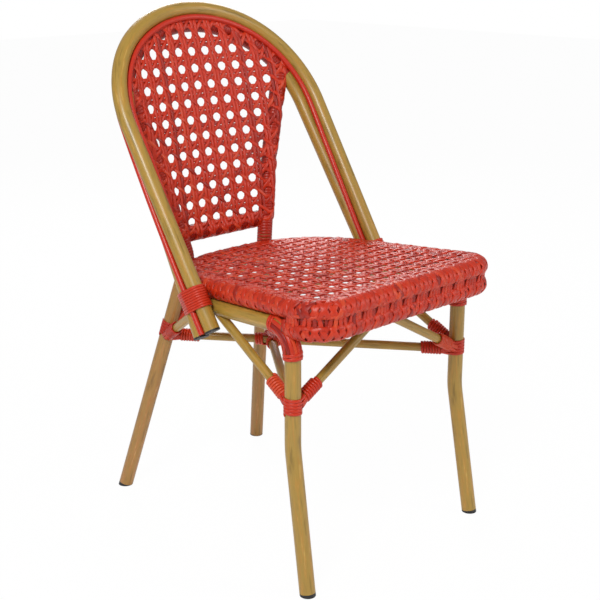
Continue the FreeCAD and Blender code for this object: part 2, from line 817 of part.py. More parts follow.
os.makedirs("parts", exist_ok=True)
total = Part.makeCompound(list(nodes.values()))
box = total.BoundBox
print("box", [round(v, 2) for v in (box.XMin, box.XMax, box.YMin, box.YMax, box.ZMin, box.ZMax)])
for name, shape in nodes.items():
    print(name, "solids", len(shape.Solids), "valid", shape.isValid(), "volume", round(shape.Volume))
    shape.exportStep("parts/" + name + ".step")
print("nodes", len(nodes))
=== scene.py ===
import bpy
import math
import numpy as np
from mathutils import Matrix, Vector


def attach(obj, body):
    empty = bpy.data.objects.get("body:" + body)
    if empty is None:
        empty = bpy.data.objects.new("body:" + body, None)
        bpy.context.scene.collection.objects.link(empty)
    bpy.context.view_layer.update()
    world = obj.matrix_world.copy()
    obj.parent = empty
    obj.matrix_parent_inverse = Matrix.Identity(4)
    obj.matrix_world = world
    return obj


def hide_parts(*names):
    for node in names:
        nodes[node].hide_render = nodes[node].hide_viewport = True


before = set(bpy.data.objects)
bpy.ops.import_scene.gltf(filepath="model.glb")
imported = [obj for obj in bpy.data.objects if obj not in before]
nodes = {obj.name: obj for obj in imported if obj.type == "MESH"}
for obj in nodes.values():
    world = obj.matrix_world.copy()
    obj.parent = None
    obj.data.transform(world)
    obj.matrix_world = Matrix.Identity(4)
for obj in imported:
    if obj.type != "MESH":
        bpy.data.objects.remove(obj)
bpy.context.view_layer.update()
rng = np.random.default_rng(11)
print("stage: frame in,", len(nodes), "nodes")

# everything below is worked out in millimetres and scaled when a mesh is made
mm = 0.001
tubeR = 12.7
strutR = 7.5


def unit(v):
    v = np.asarray(v, float)
    return v / np.maximum(np.linalg.norm(v, axis=-1, keepdims=True), 1e-9)


def smooth(t):
    t = np.clip(t, 0.0, 1.0)
    return t * t * (3.0 - 2.0 * t)


# materials

def newMaterial(name):
    mat = bpy.data.materials.new(name)
    mat.use_nodes = True
    tree = mat.node_tree
    return mat, tree, tree.nodes["Principled BSDF"]


def addNode(tree, kind, **values):
    node = tree.nodes.new(kind)
    for key, value in values.items():
        if key in node.inputs:
            node.inputs[key].default_value = value
        else:
            setattr(node, key, value)
    return node


def stretched(tree, vector, scale):
    node = addNode(tree, "ShaderNodeMapping", Scale=scale)
    tree.links.new(vector, node.inputs["Vector"])
    return node.outputs["Vector"]


def noise(tree, vector, scale, detail, roughness):
    node = addNode(tree, "ShaderNodeTexNoise", Scale=scale, Detail=detail, Roughness=roughness)
    tree.links.new(vector, node.inputs["Vector"])
    return node.outputs["Fac"]


def ramped(tree, value, stops):
    node = addNode(tree, "ShaderNodeValToRGB")
    ramp = node.color_ramp
    while len(ramp.elements) < len(stops):
        ramp.elements.new(0.5)
    for element, (at, colour) in zip(ramp.elements, stops):
        element.position = at
        element.color = (*colour, 1.0)
    tree.links.new(value, node.inputs["Fac"])
    return node.outputs["Color"]


def multiplied(tree, first, second, strength):
    node = addNode(tree, "ShaderNodeMix", data_type="RGBA", blend_type="MULTIPLY")
    node.inputs[0].default_value = strength
    tree.links.new(first, node.inputs[6])
    tree.links.new(second, node.inputs[7])
    return node.outputs[2]


# roughness and bump that follow the same grain
def grainSurface(tree, shader, grain, rough, bump):
    spread = addNode(tree, "ShaderNodeMapRange")
    spread.inputs["To Min"].default_value, spread.inputs["To Max"].default_value = rough
    tree.links.new(grain, spread.inputs["Value"])
    tree.links.new(spread.outputs["Result"], shader.inputs["Roughness"])
    relief = addNode(tree, "ShaderNodeBump", Strength=bump[0], Distance=bump[1])
    tree.links.new(grain, relief.inputs["Height"])
    tree.links.new(relief.outputs["Normal"], shader.inputs["Normal"])


def srgb(r, g, b):
    out = []
    for c in (r, g, b):
        c = c / 255.0
        out.append(c / 12.92 if c <= 0.04045 else ((c + 0.055) / 1.055) ** 2.4)
    return tuple(out)


# paint of the tubes: broad patches, and fine streaks that run along each tube
# noises are scale, detail and roughness, bumps are strength and distance
paint = {"patchStretch": (1.5, 1.5, 1.3), "patchNoise": (1.6, 3.0, 0.55),
         "patchStops": (0.30, 0.44, 0.54, 0.63, 0.74),
         "streakStretch": (9.0, 9.0, 2.2), "streakNoise": (2.0, 5.0, 0.65),
         "streakTones": [(0.32, (0.84, 0.82, 0.76)), (0.50, (1.0, 1.0, 1.0)), (0.68, (1.10, 1.09, 1.05))],
         "streakShare": 0.85, "rough": (0.30, 0.48), "bump": (0.12, 0.0004),
         "coat": 0.2, "coatRough": 0.22}


def tubeMaterial(name, base, dark, light, warm):
    mat, tree, shader = newMaterial(name)
    lay = addNode(tree, "ShaderNodeAttribute", attribute_name="tubeLay").outputs["Vector"]
    patch = noise(tree, stretched(tree, lay, paint["patchStretch"]), *paint["patchNoise"])
    streak = noise(tree, stretched(tree, lay, paint["streakStretch"]), *paint["streakNoise"])
    colours = ramped(tree, patch, list(zip(paint["patchStops"], (dark, base, base, warm, light))))
    lines = ramped(tree, streak, paint["streakTones"])
    tree.links.new(multiplied(tree, colours, lines, paint["streakShare"]), shader.inputs["Base Color"])
    grainSurface(tree, shader, streak, paint["rough"], paint["bump"])
    shader.inputs["Coat Weight"].default_value = paint["coat"]
    shader.inputs["Coat Roughness"].default_value = paint["coatRough"]
    return mat


# woven strand: a tone of its own for each strand, and fine lines along it
strandLook = {"toneStops": (0.0, 0.45, 0.62, 1.0), "stretch": (9.0, 3.4, 0.035), "noise": (2.2, 4.0, 0.6),
              "lines": [(0.30, (0.82, 0.72, 0.70)), (0.52, (1.0, 1.0, 1.0)), (0.70, (1.06, 1.10, 1.08))],
              "lineShare": 0.9, "rough": (0.26, 0.46), "bump": (0.35, 0.0005), "specular": 0.42}


def strandMaterial(name, base, deep, bright):
    look = strandLook
    mat, tree, shader = newMaterial(name)
    lay = addNode(tree, "ShaderNodeAttribute", attribute_name="strandLay").outputs["Vector"]
    split = addNode(tree, "ShaderNodeSeparateXYZ")
    tree.links.new(lay, split.inputs["Vector"])
    tones = ramped(tree, split.outputs["X"], list(zip(look["toneStops"], (deep, base, base, bright))))
    grain = noise(tree, stretched(tree, lay, look["stretch"]), *look["noise"])
    lines = ramped(tree, grain, look["lines"])
    tree.links.new(multiplied(tree, tones, lines, look["lineShare"]), shader.inputs["Base Color"])
    grainSurface(tree, shader, grain, look["rough"], look["bump"])
    shader.inputs["Specular IOR Level"].default_value = look["specular"]
    return mat


# plain finishes with a fine grain
plainLook = {"stops": (0.35, 0.65), "detail": 4.0, "noiseRough": 0.6,
             "smoother": 0.08, "rougher": 0.10, "bump": (0.15, 0.0003)}


def grainMaterial(name, colour, other, roughness, scale, metal=0.0):
    look = plainLook
    mat, tree, shader = newMaterial(name)
    place = addNode(tree, "ShaderNodeTexCoord").outputs["Object"]
    grain = noise(tree, place, scale, look["detail"], look["noiseRough"])
    colours = ramped(tree, grain, list(zip(look["stops"], (colour, other))))
    tree.links.new(colours, shader.inputs["Base Color"])
    rough = (roughness - look["smoother"], roughness + look["rougher"])
    grainSurface(tree, shader, grain, rough, look["bump"])
    shader.inputs["Metallic"].default_value = metal
    return mat


gold = tubeMaterial("bambooPaint", srgb(166, 132, 54), srgb(136, 108, 40),
                    srgb(190, 160, 82), srgb(176, 130, 50))
rosy = tubeMaterial("bambooPaintRear", srgb(164, 122, 60), srgb(136, 100, 46),
                    srgb(190, 152, 92), srgb(170, 116, 58))
# a dark copy of the tube paint for the tubes under the weave: painted shade
shadePaint = tubeMaterial("bambooPaintPaintedShade", srgb(92, 48, 26), srgb(70, 30, 18),
                      srgb(120, 70, 40), srgb(96, 40, 24))
red = strandMaterial("redStrand", srgb(196, 46, 16), srgb(140, 20, 6), srgb(208, 70, 34))
cordRed = grainMaterial("redCord", srgb(196, 44, 20), srgb(184, 36, 16), 0.36, 260.0)
black = grainMaterial("blackPlug", srgb(24, 24, 25), srgb(38, 38, 40), 0.5, 900.0)
steel = grainMaterial("boltSteel", srgb(150, 150, 150), srgb(172, 172, 170), 0.38, 500.0, metal=1.0)
print("stage: materials")


# routes of the tubes, those of the right side are mirrored for the left

def asIs(points):
    return points


def mirrorX(points):
    return np.asarray(points, float) * np.array([-1.0, 1.0, 1.0])


sides = (("right", asIs), ("left", mirrorX))


def arcPoints(start, middle, end, count):
    a, b, c = (np.asarray(p, float) for p in (start, middle, end))
    u = b - a
    v = c - a
    n = np.cross(u, v)
    centre = a + (np.cross(n, u) * v.dot(v) + np.cross(v, n) * u.dot(u)) / (2.0 * n.dot(n))
    e1 = unit(a - centre)
    e2 = unit(np.cross(unit(n), e1))
    radius = np.linalg.norm(a - centre)
    angle = math.atan2((c - centre).dot(e2), (c - centre).dot(e1)) % (2.0 * math.pi)
    t = np.linspace(0.0, angle, count)[:, None]
    return centre + radius * (np.cos(t) * e1 + np.sin(t) * e2)


# straight runs with a bend of the given radius at each inner corner
def roundedPoints(corners, radii, step=6.0):
    corners = [np.asarray(c, float) for c in corners]
    pieces = []
    last = corners[0]
    for corner, before, after, radius in zip(corners[1:], corners, corners[2:], radii):
        back = unit(before - corner)
        ahead = unit(after - corner)
        half = math.acos(float(back.dot(ahead))) / 2.0
        run = radius / math.tan(half)
        start = corner + back * run
        end = corner + ahead * run
        middle = corner + unit(back + ahead) * (radius / math.sin(half) - radius)
        count = max(2, int(np.linalg.norm(start - last) / step))
        pieces.append(np.linspace(last, start, count, endpoint=False))
        arc = arcPoints(start, middle, end, max(8, int(run * 2 / 3)))
        pieces.append(arc[:-1])
        last = end
    count = max(2, int(np.linalg.norm(corners[-1] - last) / step))
    pieces.append(np.linspace(last, corners[-1], count))
    return np.vstack(pieces)


def lengthsAlong(path):
    return np.concatenate([[0.0], np.cumsum(np.linalg.norm(path[1:] - path[:-1], axis=1))])


def wholeLength(path):
    return np.linalg.norm(path[1:] - path[:-1], axis=1).sum()


def valuesAt(at, length, values):
    return np.stack([np.interp(at, length, values[:, k]) for k in range(3)], axis=1)


seat = {"frontX": 196.0, "frontY": -267.5, "frontZ": 459.4, "sideX": 176.0, "sideY": 0.5,
        "cornerR": 40.0, "rearR": 147.0, "slope": 0.0685, "drop": 29.6}
seatRearY = seat["sideY"] + seat["rearR"]
# points on each part of half the ring
ringCounts = {"front": 50, "corner": 26, "side": 60, "rearCorner": 60, "rear": 10}


def ringZ(y):
    return seat["frontZ"] - seat["slope"] * (y - seat["frontY"])


def railZ(y):
    return ringZ(y) - seat["drop"]


def ringPath(drop=0.0):
    fx, fy, c = seat["frontX"], seat["frontY"], seat["cornerR"]
    sx, sy, r = seat["sideX"], seat["sideY"], seat["rearR"]
    n = ringCounts
    quarter = math.pi / 2
    pts = [(x, fy) for x in np.linspace(0, fx - c, n["front"])]
    pts += [(fx - c + c * math.sin(t), fy + c - c * math.cos(t))
            for t in np.linspace(0, quarter, n["corner"])[1:]]
    pts += [(fx + (sx - fx) * t, fy + c + (sy - fy - c) * t) for t in np.linspace(0, 1, n["side"])[1:]]
    pts += [(sx - r + r * math.cos(t), sy + r * math.sin(t))
            for t in np.linspace(0, quarter, n["rearCorner"])[1:]]
    pts += [(x, sy + r) for x in np.linspace(sx - r, 0, n["rear"])[1:]]
    right = np.array([(x, y, ringZ(y) - drop) for x, y in pts])
    return np.vstack([right, mirrorX(right[::-1])[1:]])


# front leg, bend and side rail in one tube
leg = {"x": 196.5, "y": -208.5, "footZ": 4.0, "spread": 6.2, "forward": 38.2, "kneeZ": 232.0,
       "kneeR": 160.0, "bendR": 40.0, "railEnd": 30.0, "taper": 0.082}


def railX(y):
    return leg["x"] - leg["taper"] * (y - leg["y"])


def railPoint(y):
    return np.array([railX(y), y, railZ(y)])


def sidePath():
    foot = (leg["x"] + leg["spread"], leg["y"] - leg["forward"], leg["footZ"])
    knee = (leg["x"], leg["y"], leg["kneeZ"])
    bend = (leg["x"], leg["y"], railZ(leg["y"]))
    return roundedPoints([foot, knee, bend, railPoint(leg["railEnd"])], [leg["kneeR"], leg["bendR"]])


# the twin bows lean back by their tilt, angles in degrees, leg is the straight part
bow = {"apex": np.array([0.0, 255.7, 857.3]), "tilt": 32.2, "crownR": 234.0, "crown": 34.3,
       "shoulderR": 191.0, "end": 90.8, "leg": 355.6}
innerBow = {"below": 22.0, "behind": 14.7, "tilt": 30.83, "crownR": 212.0, "crown": 34.3,
            "shoulderR": 174.0, "end": 87.1, "leg": 364.0}
bowCounts = {"crown": 28, "shoulder": 40, "legStep": 8}


def downSlope(tilt):
    tilt = math.radians(tilt)
    return np.array([0.0, -math.sin(tilt), -math.cos(tilt)])


bowDown = downSlope(bow["tilt"])
bowBehind = np.array([0.0, -bowDown[2], bowDown[1]])
innerBow["apex"] = bow["apex"] + bowDown * innerBow["below"] + bowBehind * innerBow["behind"]


def bowHalf(shape, legLength):
    down = downSlope(shape["tilt"])
    crown = math.radians(shape["crown"])
    end = math.radians(shape["end"])
    xs, ss = [], []
    for t in np.linspace(0.0, crown, bowCounts["crown"]):
        xs.append(shape["crownR"] * math.sin(t))
        ss.append(shape["crownR"] * (1 - math.cos(t)))
    x0, s0 = xs[-1], ss[-1]
    for t in np.linspace(crown, end, bowCounts["shoulder"])[1:]:
        xs.append(x0 + shape["shoulderR"] * (math.sin(t) - math.sin(crown)))
        ss.append(s0 + shape["shoulderR"] * (math.cos(crown) - math.cos(t)))
    x0, s0 = xs[-1], ss[-1]
    for t in np.linspace(0.0, legLength, max(2, int(legLength / bowCounts["legStep"])))[1:]:
        xs.append(x0 + t * math.cos(end))
        ss.append(s0 + t * math.sin(end))
    return np.array([shape["apex"] + np.array([x, 0, 0]) + down * s for x, s in zip(xs, ss)])


def bowPath(shape):
    right = bowHalf(shape, shape["leg"])
    return np.vstack([mirrorX(right[::-1]), right[1:]])


# share 0 is where the straight leg starts, 1 its end
def bowLegPoint(shape, share):
    half = bowHalf(shape, shape["leg"])
    bend = half[bowCounts["crown"] + bowCounts["shoulder"] - 2]
    return bend + (half[-1] - bend) * share


# rear leg that goes on as the upright of the back, up to the inner bow
rear = {"foot": np.array([165.6, 271.0, 0.0]), "footZ": 4.0, "bendX": 91.0, "bendZ": 441.0, "bendR": 60.0,
        "ringGap": 0.1, "mid": np.array([125.0, 185.0, 590.0]), "midR": 700.0, "topX": 173.0, "topZ": 744.0}
rearReach = seat["rearR"] + 2.0 * tubeR + rear["ringGap"]
rearAcross = rear["bendX"] - seat["sideX"] + seat["rearR"]
rearBendY = seat["sideY"] + math.sqrt(rearReach ** 2 - rearAcross ** 2)
rearCorner = np.array([rear["bendX"], rearBendY, rear["bendZ"]])
innerSlope = math.tan(math.radians(innerBow["tilt"]))
rearTopY = innerBow["apex"][1] - (innerBow["apex"][2] - rear["topZ"]) * innerSlope
rearTop = np.array([rear["topX"], rearTopY, rear["topZ"]])
rearAlong = unit(rearCorner - rear["foot"])


def rearLegPoint(z):
    return rear["foot"] + (rearCorner - rear["foot"]) * (z / rear["bendZ"])


def uprightAt(z):
    a, b = (rearCorner, rear["mid"]) if z < rear["mid"][2] else (rear["mid"], rearTop)
    return a + (b - a) * ((z - a[2]) / (b[2] - a[2]))


def rearPath():
    corners = [rearLegPoint(rear["footZ"]), rearCorner, rear["mid"], rearTop]
    return roundedPoints(corners, [rear["bendR"], rear["midR"]])


def nearestOnPath(points, path):
    a = path[:-1]
    d = path[1:] - a
    dd = np.maximum((d * d).sum(1), 1e-9)
    best = np.full(len(points), 1e18)
    index = np.zeros(len(points), int)
    share = np.zeros(len(points))
    for k in range(len(a)):
        t = np.clip(((points - a[k]) @ d[k]) / dd[k], 0.0, 1.0)
        gap = points - (a[k] + t[:, None] * d[k])
        g = (gap * gap).sum(1)
        better = g < best
        best[better] = g[better]
        index[better] = k
        share[better] = t[better]
    return np.sqrt(best), index, share


def repaint(names, material):
    for name in names:
        nodes[name].data.materials.clear()
        nodes[name].data.materials.append(material)


# coordinates for the paint of a tube: two across in radii, one along in units of 100 mm
def layTube(name, path, radius, side, material):
    mesh = nodes[name].data
    co = np.zeros(len(mesh.vertices) * 3)
    mesh.vertices.foreach_get("co", co)
    co = co.reshape(-1, 3) / mm
    _, index, share = nearestOnPath(co, path)
    step = path[1:] - path[:-1]
    tangent = unit(np.gradient(path, axis=0))
    t = unit(tangent[index] * (1 - share[:, None]) + tangent[index + 1] * share[:, None])
    foot = path[index] + step[index] * share[:, None]
    side = np.asarray(side, float)
    n1 = unit(side - t * (t @ side)[:, None])
    n2 = np.cross(t, n1)
    out = co - foot
    run = lengthsAlong(path)[index] + share * np.linalg.norm(step[index], axis=1)
    lay = np.stack([(out * n1).sum(1) / radius, (out * n2).sum(1) / radius, run / 100.0], axis=1)
    attribute = mesh.attributes.new("tubeLay", "FLOAT_VECTOR", "POINT")
    attribute.data.foreach_set("vector", lay.astype(np.float32).ravel())
    repaint([name], material)


backBar = {"y": 177.5, "z": 482.0, "half": 120.0, "wrapHalf": 98.0}
crossBar = {"z": 413.0, "r": 10.0}
rightward = (1, 0, 0)
upward = (0, 0, 1)

layTube("outer_bow", bowPath(bow), tubeR, bowBehind, gold)
layTube("inner_bow", bowPath(innerBow), tubeR, bowBehind, gold)
for side, flip in sides:
    layTube("side_tube_" + side, flip(sidePath()), tubeR, rightward, gold)
    layTube("rear_leg_" + side, flip(rearPath()), tubeR, rightward, rosy)
# the tubes under the weave take the dark copy of the paint, painted shade
layTube("seat_ring", ringPath(), tubeR, upward, shadePaint)
layTube("front_lower_rail", ringPath(seat["drop"]), tubeR, upward, shadePaint)
barPath = np.array([(x, backBar["y"], backBar["z"]) for x in (-backBar["half"], backBar["half"])])
layTube("back_lower_bar", barPath, tubeR, upward, shadePaint)
crossPath = np.array([(x, leg["y"], crossBar["z"]) for x in (-leg["x"], leg["x"])])
layTube("front_cross_bar", crossPath, crossBar["r"], upward, gold)

# heights at which the struts leave the legs, and where the braces end above
strutEnd = {"stretcherFront": 297.0, "stretcherRear": 301.0, "frontBrace": 299.0, "frontBraceRun": 1.8,
            "sideFront": 303.0, "sideFrontY": -11.0, "sideRear": 297.0, "sideRearY": 9.0,
            "rearBrace": 306.0, "rearBraceX": 12.0}


def frontLegPoint(z):
    return np.array([leg["x"], leg["y"], z])


stretcherFront = frontLegPoint(strutEnd["stretcherFront"])
stretcherRear = rearLegPoint(strutEnd["stretcherRear"])
frontLeft = mirrorX(stretcherFront)
rearLeft = mirrorX(stretcherRear)
braceX = leg["x"] - (crossBar["z"] - strutEnd["frontBrace"]) * strutEnd["frontBraceRun"]
struts = {
    "stretcher_long": (rearLeft, stretcherFront),
    "stretcher_front_half": (frontLeft, stretcherRear),
    "stretcher_rear_half": (frontLeft, stretcherRear),
    "front_brace_right": (frontLegPoint(strutEnd["frontBrace"]),
                          np.array([braceX, leg["y"], crossBar["z"]])),
    "side_brace_front_right": (frontLegPoint(strutEnd["sideFront"]), railPoint(strutEnd["sideFrontY"])),
    "side_brace_rear_right": (rearLegPoint(strutEnd["sideRear"]), railPoint(strutEnd["sideRearY"])),
    "rear_brace_right": (rearLegPoint(strutEnd["rearBrace"]),
                         np.array([strutEnd["rearBraceX"], seatRearY, ringZ(seatRearY)])),
}
for name in list(struts):
    if name.endswith("_right"):
        a, b = struts[name]
        struts[name.replace("_right", "_left")] = (mirrorX(a), mirrorX(b))
for name, (a, b) in struts.items():
    layTube(name, np.array([a, b]), strutR, upward, gold)
print("stage: tubes laid out")

repaint(("bow_end_plugs", "front_foot_plug_left", "front_foot_plug_right",
         "rear_foot_plug_left", "rear_foot_plug_right"), black)
repaint(("trim_cord_front", "trim_cord_rear"), cordRed)
repaint(("bow_bolts",), steel)


# woven strands, all as flat ovals that follow a line with an up direction
oval = {"corners": 8, "square": 0.8, "tone": 0.5, "toneSpread": 0.22, "grainShift": 400.0, "turnSteps": 22}


def strand(points, ups, width, thick, tone=None):
    if tone is None:
        tone = oval["tone"] + oval["toneSpread"] * rng.standard_normal()
    return {"points": np.asarray(points, float), "ups": np.asarray(ups, float),
            "width": width, "thick": thick, "tone": float(np.clip(tone, 0.0, 1.0))}


def strandPiece(name, strands, replaced=()):
    count = oval["corners"]
    phi = np.arange(count) * 2.0 * math.pi / count + math.pi / count
    across = np.sign(np.cos(phi)) * np.abs(np.cos(phi)) ** oval["square"]
    rise = np.sin(phi)
    endCap = np.array([(3, 2, 1, 0), (7, 4, 3, 0), (7, 6, 5, 4)])
    verts, quads, lays = [], [], []
    base = 0
    for s in strands:
        p = s["points"]
        n = len(p)
        t = unit(np.gradient(p, axis=0))
        sideways = unit(np.cross(t, s["ups"]))
        outward = np.cross(sideways, t)
        skin = (p[:, None, :] + sideways[:, None, :] * (across * s["width"] / 2.0)[None, :, None]
                + outward[:, None, :] * (rise * s["thick"] / 2.0)[None, :, None])
        verts.append(skin.reshape(-1, 3))
        lay = np.zeros((n, count, 3))
        lay[:, :, 0] = s["tone"]
        lay[:, :, 1] = across[None, :]
        lay[:, :, 2] = (lengthsAlong(p) + oval["grainShift"] * s["tone"])[:, None]
        lays.append(lay.reshape(-1, 3))
        i = np.arange(n - 1)[:, None] * count + base
        k = np.arange(count)[None, :]
        k2 = (k + 1) % count
        body = np.stack([i + k, i + k2, i + k2 + count, i + k + count], axis=2)
        quads += [body.reshape(-1, 4), endCap + base, endCap[:, ::-1] + base + (n - 1) * count]
        base += n * count
    verts = np.vstack(verts) * mm
    quads = np.vstack(quads).astype(np.int32)
    lays = np.vstack(lays)
    mesh = bpy.data.meshes.new(name)
    mesh.vertices.add(len(verts))
    mesh.vertices.foreach_set("co", verts.astype(np.float32).ravel())
    mesh.loops.add(len(quads) * 4)
    mesh.loops.foreach_set("vertex_index", quads.ravel())
    mesh.polygons.add(len(quads))
    mesh.polygons.foreach_set("loop_start", np.arange(0, len(quads) * 4, 4, dtype=np.int32))
    mesh.polygons.foreach_set("use_smooth", np.ones(len(quads), bool))
    mesh.update(calc_edges=True)
    mesh.validate()
    attribute = mesh.attributes.new("strandLay", "FLOAT_VECTOR", "POINT")
    attribute.data.foreach_set("vector", lays.astype(np.float32).ravel())
    mesh.materials.append(red)
    piece = bpy.data.objects.new(name, mesh)
    bpy.context.scene.collection.objects.link(piece)
    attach(piece, "root")
    if replaced:
        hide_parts(*replaced)
    print("stage:", name, len(strands), "strands,", len(verts), "points")


def frameOf(path, side):
    t = unit(np.gradient(path, axis=0))
    side = np.asarray(side, float)
    n1 = unit(side - t * (t @ side)[:, None])
    return n1, np.cross(t, n1)


# a strand wound round a tube's path, start and end are lengths along it
def woundStrand(path, side, wire, start, end, tone=None, phase=0.0):
    length = lengthsAlong(path)
    n1, n2 = frameOf(path, side)
    pitch = wire["pitch"]
    at = np.linspace(start, end, max(8, int(abs((end - start) / pitch) * oval["turnSteps"])))
    centre = valuesAt(at, length, path)
    a, b = unit(valuesAt(at, length, n1)), unit(valuesAt(at, length, n2))
    angle = phase + 2.0 * math.pi * (at - start) / pitch
    out = a * np.cos(angle)[:, None] + b * np.sin(angle)[:, None]
    return strand(centre + out * wire["r"], out, wire["width"], wire["thick"], tone)


# flat points are laid on a face, and past its edge round the tube that carries the edge
# a face is its edge, the edge in the flat, its surface and normal, and the radius round the tube
wrap = {"soften": 20.0, "outerLift": 0.55}


def insideLine(points, line):
    x, y = points[:, 0], points[:, 1]
    inside = np.zeros(len(points), bool)
    for (x0, y0), (x1, y1) in zip(line[:-1], line[1:]):
        if y0 == y1:
            continue
        crossing = ((y0 > y) != (y1 > y)) & (x < (x1 - x0) * (y - y0) / (y1 - y0) + x0)
        inside ^= crossing
    return inside


def wrapPlace(face, points, lift):
    edge, flatEdge, radius = face["edge"], face["flatEdge"], face["radius"]
    surface, normalOf = face["surface"], face["normal"]
    gap, index, share = nearestOnPath(points, flatEdge)
    inside = insideLine(points, flatEdge)
    tangent = unit(np.gradient(edge, axis=0))
    s = share[:, None]
    axis = edge[index] * (1 - s) + edge[index + 1] * s
    t = unit(tangent[index] * (1 - s) + tangent[index + 1] * s)
    foot = flatEdge[index] * (1 - s) + flatEdge[index + 1] * s
    n = normalOf(points[:, 0], points[:, 1])
    nFoot = normalOf(foot[:, 0], foot[:, 1])
    e1 = unit(nFoot - t * (t * nFoot).sum(1)[:, None])
    e2 = np.cross(t, e1)
    sign = np.sign(((axis - edge.mean(0)) * e2).sum(1))[:, None]
    e2 = e2 * np.where(sign == 0, 1.0, sign)
    shift = axis + e1 * radius - surface(foot[:, 0], foot[:, 1])
    weight = smooth(1.0 - gap / wrap["soften"])[:, None]
    inner = surface(points[:, 0], points[:, 1]) + shift * weight + n * lift[:, None]
    angle = (gap / radius)[:, None]
    out = e1 * np.cos(angle) + e2 * np.sin(angle)
    outer = axis + out * (radius + lift[:, None] * wrap["outerLift"])
    pos = np.where(inside[:, None], inner, outer)
    normal = np.where(inside[:, None], n, out)
    return pos, normal, np.where(inside, -gap, gap)


# pairs of strands along and across the grid of holes, and single strands both ways on the slant
# wander is how far a strand strays, with its wave length and shift from row to row for each way
weave = {"step": 3.0, "slantStep": 0.72, "least": 6, "straightLift": 0.8, "slantLift": 1.25,
         "wander": 0.35, "wave": (23.0, 21.0), "rowShift": (1.7, 1.3)}


def wovenLattice(spec, face):
    strands = []
    pitch, low, high = spec["pitch"], spec["low"], spec["high"]
    first = (pitch[0] / 2.0, spec["holeAt"])

    def lay(points, lift, width):
        pos, normal, gap = wrapPlace(face, points, lift)
        keep = gap < spec["reach"]
        start = None
        for k in range(len(keep) + 1):
            on = k < len(keep) and keep[k]
            if on and start is None:
                start = k
            if not on and start is not None:
                if k - start >= weave["least"]:
                    strands.append(strand(pos[start:k], normal[start:k], width, spec["thick"]))
                start = None

    for way, sign in ((0, 1.0), (1, -1.0)):
        other = 1 - way
        run = np.arange(low[other], high[other], weave["step"])
        wave = np.sin(math.pi * (run - first[other]) / pitch[other]) ** 2
        firstRow = int((low[way] - first[way]) / pitch[way]) - 1
        lastRow = int((high[way] - first[way]) / pitch[way]) + 1
        for row in range(firstRow, lastRow + 1):
            for off in (-spec["pair"], spec["pair"]):
                wander = weave["wander"] * np.sin(run / weave["wave"][way] + row * weave["rowShift"][way] + off)
                line = first[way] + (row + 0.5) * pitch[way] + off + wander
                points = np.stack([run, line] if way else [line, run], axis=1)
                lay(points, sign * spec["lift"] * weave["straightLift"] * wave, spec["width"])

    # in cells, u across and v along, a slanting strand passes midway between the holes
    u0 = (low[0] - first[0]) / pitch[0]
    u1 = (high[0] - first[0]) / pitch[0]
    n = int((high[0] - low[0]) / pitch[0]) + int((high[1] - low[1]) / pitch[1]) + 4
    for direction in (1.0, -1.0):
        for k in range(-n, n):
            u = np.arange(u0, u1, weave["step"] / pitch[0] * weave["slantStep"])
            v = direction * (u - k - 0.5)
            points = np.stack([first[0] + u * pitch[0], first[1] + v * pitch[1]], axis=1)
            keep = (points[:, 1] > low[1]) & (points[:, 1] < high[1])
            if keep.sum() < weave["least"]:
                continue
            wave = np.cos(2.0 * math.pi * (u[keep] - k))
            lay(points[keep], direction * spec["lift"] * weave["slantLift"] * wave, spec["slant"])
    return strands


# the back's woven panel
panel = {"y": 189.8, "z": 620.0, "lean": 18.8, "curl": 2.6, "hollow": 0.00075, "wrapR": 13.9, "skin": 0.6,
         "pitch": (30.2, 28.4), "holeAt": 758.6, "low": (-262.0, 425.0), "high": (262.0, 900.0),
         "reach": 47.0, "pair": 3.75, "width": 7.4, "slant": 6.4, "thick": 1.9, "lift": 1.3}
# the inner bow edges the panel this far down its straight legs
archLeg = 10.0


def panelY(x, z):
    h = (z - panel["z"]) / 100.0
    return panel["y"] + panel["lean"] * h + panel["curl"] * h * h - panel["hollow"] * x * x


def panelNormal(x, z):
    h = (z - panel["z"]) / 100.0
    rise = (panel["lean"] + 2.0 * panel["curl"] * h) / 100.0
    return unit(np.stack([-2.0 * panel["hollow"] * x, -np.ones_like(x), rise], axis=1))


def panelSurface(x, z):
    return np.stack([x, panelY(x, z), z], axis=1)


def backBoundary():
    ups = np.array([uprightAt(z) for z in np.linspace(backBar["z"], rear["topZ"], 60)])
    right = bowHalf(innerBow, archLeg)
    arch = right[right[:, 2] > rear["topZ"]]
    base = np.array([(x, backBar["y"], backBar["z"]) for x in np.linspace(ups[0][0], 0, 12)])[1:]
    half = np.vstack([arch, ups[::-1], base])
    return np.vstack([half, mirrorX(half[::-1])[1:]])


backEdge = backBoundary()
backFace = {"edge": backEdge, "flatEdge": backEdge[:, [0, 2]], "surface": panelSurface,
            "normal": panelNormal, "radius": panel["wrapR"] + panel["skin"]}
strandPiece("back_cane", wovenLattice(panel, backFace), ["back_weave"])

# a plain winding under it, round the uprights, the bar and the top of the inner bow; its low tone darkens it as
# painted shade under the lattice
uprightWrap = {"r": 13.3, "pitch": 5.0, "width": 5.3, "thick": 1.1, "tone": 0.2, "fromZ": 428.0}
topWrap = {"r": 13.3, "pitch": 5.0, "width": 5.0, "thick": 1.1, "tone": 0.1, "belowTop": 10.0}
toFront = (0, -1, 0)
wraps = []
for side, flip in sides:
    line = rearPath()
    line = flip(line[line[:, 2] > uprightWrap["fromZ"]])
    wraps.append(woundStrand(line, toFront, uprightWrap, 0.0, wholeLength(line), uprightWrap["tone"]))
barX = np.linspace(-backBar["wrapHalf"], backBar["wrapHalf"], 30)
barLine = np.array([(x, backBar["y"], backBar["z"]) for x in barX])
wraps.append(woundStrand(barLine, toFront, topWrap, 0.0, 2.0 * backBar["wrapHalf"], topWrap["tone"]))
arch = bowHalf(innerBow, archLeg)
arch = arch[arch[:, 2] > rear["topZ"] - topWrap["belowTop"]]
arch = np.vstack([mirrorX(arch[::-1]), arch[1:]])
